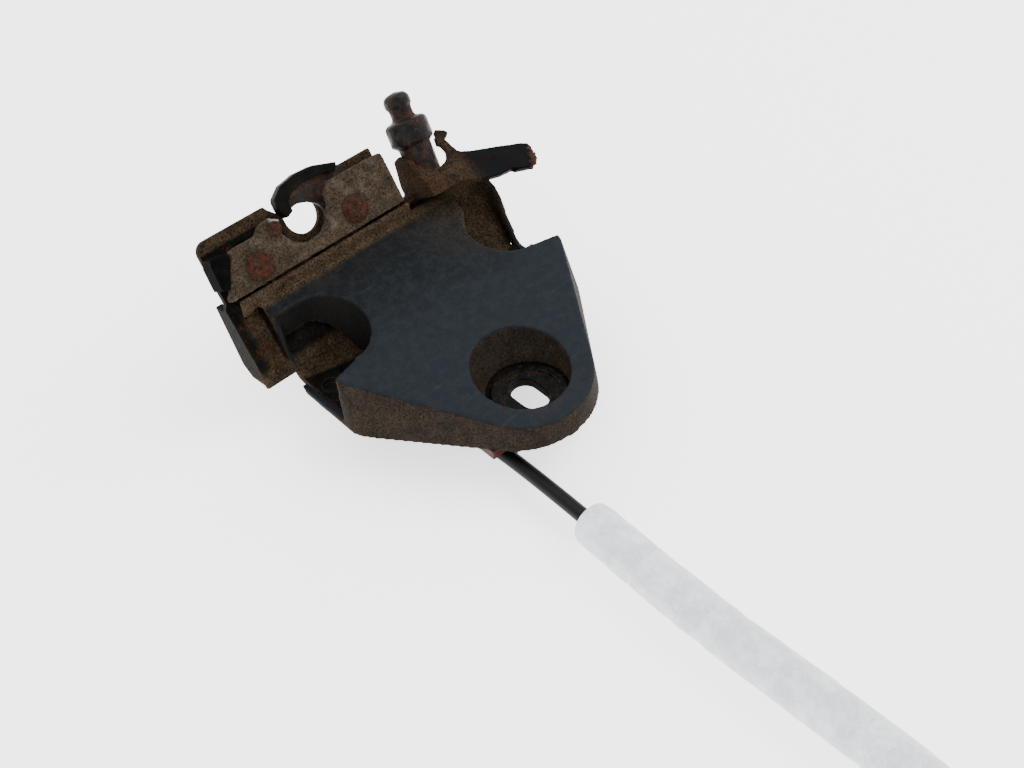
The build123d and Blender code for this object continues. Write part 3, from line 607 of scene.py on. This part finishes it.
class DOORLOCK_OT_cable(bpy.types.Operator):
    """Black conduit and its foam sleeve"""
    bl_idname = "doorlock.cable"
    bl_label = "Cable"

    def execute(self, context):
        s = Shader("Conduit plastic")
        scuffs = s.noise(2.5, 3, 0.6, stretch=(1, 0.2, 1), seed=4)
        colour = s.mix(scuffs.step(0.5, 0.75), srgb(4, 4, 4), srgb(12, 12, 11))
        conduit_material = s.surface(
            colour, scuffs * 0.25 + 0.32, 0.0, s.bump(scuffs, 0.1, 0.4), Specular_IOR_Level=0.15)

        conduit = nurbs("conduit_jacket", CONDUIT_ROUTE)
        line = route_points(conduit)
        conduit.data.bevel_depth = CONDUIT_RADIUS
        conduit.data.bevel_resolution = 8
        conduit.data.use_fill_caps = True
        conduit.data.materials.append(conduit_material)
        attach(conduit, "frame")
        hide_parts("cable_conduit")

        foam = self.foam(line)
        return {"FINISHED"}

    def foam(self, line):
        """A foam tube that follows the conduit, with rounded, slightly ragged ends."""
        count, around = FOAM_STEPS, FOAM_AROUND
        start_y, end_y = FOAM_START_Y * MM, FOAM_END_Y * MM
        builder = bmesh.new()
        rings = []
        for step in range(count + 1):
            y = start_y + (end_y - start_y) * step / count
            index = next(i for i in range(len(line) - 1) if line[i].y >= y >= line[i + 1].y)
            a, b = line[index], line[index + 1]
            centre = a.lerp(b, (a.y - y) / (a.y - b.y))
            near = min(step, count - step) / count * abs(end_y - start_y)
            rounding = FOAM_END_ROUNDING
            pull = rounding - math.sqrt(max(0.0, rounding**2 - max(0.0, rounding - near) ** 2))
            ring = []
            for k in range(around):
                angle = 2 * math.pi * k / around
                out = Vector((math.cos(angle), 0, math.sin(angle)))
                p = centre + out * FOAM_RADIUS
                dent = noise.noise(p * 55) * 0.30 + noise.noise(p * 200) * 0.20
                dent = dent + noise.noise(p * 520) * 0.12
                radius = FOAM_RADIUS - 0.25 * MM + dent * MM - pull
                for away, depth, width in FOAM_CREASES:
                    at = start_y - away
                    crease = y - at + 0.0010 * math.sin(angle * 2 + at * 900)
                    radius -= depth * MM * math.exp(-((crease / width) ** 2))
                radius = min(radius, FOAM_RADIUS)
                ring.append(builder.verts.new(centre + out * radius))
            rings.append(ring)
        join_rings(builder, rings)
        for ring, towards in ((rings[0], 1), (rings[-1], -1)):
            centre = sum((v.co for v in ring), Vector()) / around
            bore = CONDUIT_RADIUS + FOAM_WALL_GAP
            inner = [builder.verts.new(centre + (v.co - centre).normalized() * bore) for v in ring]
            deep = [builder.verts.new(v.co + Vector((0, -towards * 3 * MM, 0))) for v in inner]
            for k in range(around):
                n = (k + 1) % around
                builder.faces.new((ring[k], ring[n], inner[n], inner[k]))
                builder.faces.new((inner[k], inner[n], deep[n], deep[k]))
        bmesh.ops.recalc_face_normals(builder, faces=builder.faces)
        s = Shader("White foam")
        cells = s.add("TexVoronoi", {}, Vector=s.place, Scale=1 / (1.3 * MM))
        cell = Val(s, cells.outputs["Distance"])
        cloud = s.noise(6, 4, 0.6, seed=2)
        colour = s.mix(cloud.step(0.35, 0.7), srgb(212, 216, 220), srgb(236, 239, 243))
        soil = s.noise(9, 5, 0.7, seed=9) * 0.6 + s.noise(1.2, 3, 0.7, seed=6) * 0.5
        soil = soil.step(0.62, 0.78)
        colour = s.mix(soil * 0.35, colour, srgb(176, 172, 160))
        specks = s.noise(0.7, 2, 0.5, seed=16).step(0.74, 0.78)
        specks = specks * s.noise(14, 2, 0.5, seed=17).step(0.5, 0.62)
        colour = s.mix(specks * 0.8, colour, srgb(70, 60, 50))
        height = cell * 0.5 + s.noise(1.6, 4, 0.65, seed=12, distortion=1.2) * 1.4
        material = s.surface(
            colour, 0.55, 0.0, s.bump(height, 0.55, 0.9), Specular_IOR_Level=0.4)
        foam = new_piece("foam_tube", builder, material)
        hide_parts("foam_sleeve")
        return foam


class DOORLOCK_OT_metal(bpy.types.Operator):
    """Dusty, rusty finishes of the steel pieces"""
    bl_idname = "doorlock.metal"
    bl_label = "Steel pieces"

    def execute(self, context):
        edge_width = context.scene.door_lock.edge_width / MM
        plate = layered("Dusty plate", plate_base, plate_dust, plate_rust, 0.6, gloss=0.03)
        face = layered(
            "Caked front plate", plain(srgb(120, 116, 108), srgb(150, 146, 138)), face_dust,
            face_rust, 0.35, metal=0.8, relief=0.6)
        rivet = layered(
            "Rusty rivet", plain(RUST_DARK, RUST_PALE, 1.5), patches(2.2, 0.50, 0.62, 0.6),
            patches(1.2, 0.34, 0.50), 0.8, relief=0.4)
        pin = layered(
            "Rusty pin", plain(srgb(8, 7, 6), srgb(24, 20, 18), 3.0), patches(4, 0.54, 0.74, 0.45),
            patches(3.2, 0.52, 0.62, 0.7, seed=21), 0.42, metal=0.35, relief=0.2)
        arm = layered(
            "Painted arm", plain(srgb(2, 3, 4), srgb(6, 7, 8), 6), self.arm_dust, self.arm_rust,
            0.22, gloss=0.02)
        claw = layered(
            "Dusty claw", plain(srgb(10, 9, 7), srgb(20, 17, 13)), patches(4, 0.46, 0.70, 0.6),
            patches(3, 0.52, 0.60, 0.7, seed=21), 0.5, relief=0.25)
        torn = layered(
            "Torn metal", plain(srgb(26, 16, 12), srgb(62, 44, 36), 1.2),
            patches(1.6, 0.6, 0.75, 0.4), patches(1.5, 0.46, 0.58, 0.8, seed=21), 0.5,
            metal=0.3, relief=0.3)
        bare = layered(
            "Worn steel", plain(srgb(70, 66, 60), srgb(110, 106, 98)), patches(4, 0.5, 0.7, 0.6),
            patches(3, 0.50, 0.60, 0.7, seed=21), 0.4, metal=0.8, relief=0.15)
        washer = layered(
            "Funnel ring", plain(srgb(4, 5, 6), srgb(12, 13, 14), 3), patches(3, 0.52, 0.66, 0.35),
            patches(3, 0.6, 0.7, 0.3, seed=21), 0.3, relief=0.3, gloss=0.05)
        materials = {
            "mounting_plate": plate, "latch_front_plate": face, "claw": claw, "pawl": claw,
            "pawl_stud": bare, "claw_pivot_rivet": rivet, "pawl_pivot_rivet": rivet,
            "claw_spring": bare, "pawl_spring": bare, "slot_washer": washer, "locating_pin": pin,
            "pin_bracket": arm, "bracket_rivets": rivet, "housing_screws": bare,
            "cable_bracket": plate, "cable_core": bare, "core_nipple": bare, "far_core": bare,
            "far_nipple": bare,
        }
        for node, material in materials.items():
            set_material(node, material)
        for node in ("mounting_plate", "slot_washer", "cable_bracket", "pawl"):
            round_edges(node, edge_width)
        self.torn_tip(torn)
        self.stop_stud(rivet)
        for side, name in ((-1, "weld_nut_left"), (1, "weld_nut_right")):
            self.weld_nut(name, side * SIDE_HOLE_X, plate)
        crust("latch_front_plate", 0.40, 2, 0.45, 0.9)
        crust("claw_pivot_rivet", 0.28, 2, 0.55, 0.9)
        crust("pawl_pivot_rivet", 0.28, 2, 0.55, 0.9)
        crust("locating_pin", 0.35, 3, 0.22, 1.8)
        crust("claw", 0.40, 3, 0.25, 1.6)
        crust("pin_bracket", 0.40, 2, 0.10, 3.0)
        return {"FINISHED"}

    def torn_tip(self, material):
        """The curled, torn edge at the end of the bracket's arm."""
        places = [lean_point(x, across, TORN_DEPTH) for x, across in TORN_EDGE]
        line = []
        for first, second in zip(places, places[1:]):
            line += [first.lerp(second, step / 6) for step in range(6)]
        line.append(places[-1])
        builder = bmesh.new()
        rings = []
        around = 20
        for index, centre in enumerate(line):
            share = index / (len(line) - 1)
            along = (line[min(index + 1, len(line) - 1)] - line[max(index - 1, 0)]).normalized()
            side = along.cross(LEAN_OUT).normalized()
            radius = TORN_RADIUS * math.sin(math.pi * (0.12 + 0.76 * share)) ** 0.6
            curl = LEAN_OUT * (0.5 * math.sin(share * 19)) * MM
            ring = []
            for step in range(around):
                angle = 2 * math.pi * step / around
                out = side * math.cos(angle) * 1.25 + LEAN_OUT * math.sin(angle)
                place = centre + out * radius * MM
                lump = 1 + 0.45 * noise.noise(place * 900) + 0.25 * noise.noise(place * 2100)
                ring.append(builder.verts.new(centre + curl + out * radius * lump * MM))
            rings.append(ring)
        close_tube(builder, rings)
        return new_piece("arm_torn_tip", builder, material)

    def stop_stud(self, material):
        """The worn stud head beside the slot."""
        builder = bmesh.new()
        bmesh.ops.create_uvsphere(builder, u_segments=48, v_segments=24, radius=1.0)
        turn = Vector((0, 0, 1)).rotation_difference(OFF_FACE)
        centre = face_point(STUD_X, STUD_M, STUD_H)
        for vertex in builder.verts:
            lump = 1 + 0.10 * noise.noise(vertex.co * 2.6) + 0.06 * noise.noise(vertex.co * 6)
            flat = Vector((vertex.co.x * 2.7, vertex.co.y * 2.5, max(vertex.co.z, -0.2) * 1.7))
            vertex.co = centre + turn @ (flat * lump * MM)
        return new_piece("stop_stud_head", builder, material)

    def weld_nut(self, name, x, material):
        """A hexagonal nut under the plate, round a fixing hole."""
        builder = bmesh.new()
        rings = []
        around = 48
        for z, flat_half, bore in NUT_RINGS:
            ring = []
            for step in range(around):
                angle = 2 * math.pi * step / around
                corner = (angle + math.pi / 6) % (math.pi / 3) - math.pi / 6
                radius = bore if bore else min(flat_half / math.cos(corner), flat_half * 1.12)
                place = Vector((x + radius * math.cos(angle), radius * math.sin(angle), z))
                ring.append(builder.verts.new(place * MM))
            rings.append(ring)
        close_tube(builder, rings + [rings[0]], caps=False)
        return new_piece(name, builder, material, smooth=False)

    def arm_dust(self, s):
        """Dust on the bracket round the pin, gone from the long arm."""
        x = s.along(SIDEWAYS)
        cloud = s.noise(5, 5, 0.66, seed=31)
        near_pin = 1 - (x + cloud * 6).step(38, 46)
        return near_pin * (cloud * 0.8 + 0.25) + cloud.step(0.62, 0.7) * 0.25

    def arm_rust(self, s):
        x = s.along(SIDEWAYS)
        cloud = s.noise(3, 5, 0.7, seed=21)
        inner = 1 - x.step(24, 30)
        return (cloud + s.edge(0.6) * 0.25).step(0.60, 0.68) + inner * cloud.step(0.40, 0.55) * 0.8


class DOORLOCK_OT_plastic(bpy.types.Operator):
    """Scuffed cover and the other plastic pieces"""
    bl_idname = "doorlock.plastic"
    bl_label = "Plastic pieces"

    def execute(self, context):
        cover = layered(
            "Scuffed cover", cover_base, cover_dust, None, 0.58, relief=0.12, gloss=0.05)
        dark = layered(
            "Dark plastic", plain(srgb(4, 5, 4), srgb(10, 11, 10)), patches(4, 0.5, 0.75, 0.5),
            None, 0.4, gloss=0.05)
        liner = layered(
            "Liner plastic", plain(srgb(3, 4, 3), srgb(8, 9, 8)), patches(4, 0.55, 0.8, 0.4),
            None, 0.8, gloss=0.02)
        over = layered(
            "Claw overmould", plain(srgb(6, 6, 5), srgb(13, 12, 10)), patches(4, 0.54, 0.80, 0.3),
            None, 0.5, gloss=0.03)
        red = layered(
            "Red plastic", plain(srgb(48, 11, 6), srgb(64, 18, 10)), patches(3, 0.5, 0.7, 0.6),
            None, 0.4)
        for node, material in {
            "cover": cover, "back_housing": dark, "latch_liner": liner, "claw_overmould": over,
            "conduit_ferrule": dark, "far_ferrule": dark, "cable_clip": red,
        }.items():
            set_material(node, material)
        for node in ("back_housing", "latch_liner", "conduit_ferrule", "far_ferrule", "cable_clip"):
            round_edges(node, 0.4)
        crust("cover", 0.62, 5)
        crust("claw_overmould", 0.40, 3, 0.12, 2.0)
        return {"FINISHED"}


OPERATORS = (DOORLOCK_OT_stage, DOORLOCK_OT_cable, DOORLOCK_OT_metal, DOORLOCK_OT_plastic)


class DOORLOCK_PT_panel(bpy.types.Panel):
    """Lists the steps that dress the door lock"""
    bl_label = "Door Lock"
    bl_idname = "DOORLOCK_PT_panel"
    bl_space_type = "VIEW_3D"
    bl_region_type = "UI"
    bl_category = "Door Lock"

    def draw(self, context):
        settings = context.scene.door_lock
        for key in ("lens", "key_power", "floor_colour", "floor_glow", "edge_width"):
            self.layout.prop(settings, key)
        for operator in OPERATORS:
            self.layout.operator(operator.bl_idname)


CLASSES = (DoorLockSettings, *OPERATORS, DOORLOCK_PT_panel)


def register():
    for cls in CLASSES:
        bpy.utils.register_class(cls)
    bpy.types.Scene.door_lock = bpy.props.PointerProperty(type=DoorLockSettings)


def unregister():
    del bpy.types.Scene.door_lock
    for cls in reversed(CLASSES):
        bpy.utils.unregister_class(cls)


def main():
    register()
    bpy.ops.doorlock.stage()
    bpy.ops.doorlock.cable()
    bpy.ops.doorlock.metal()
    bpy.ops.doorlock.plastic()


if __name__ == "__main__":
    main()
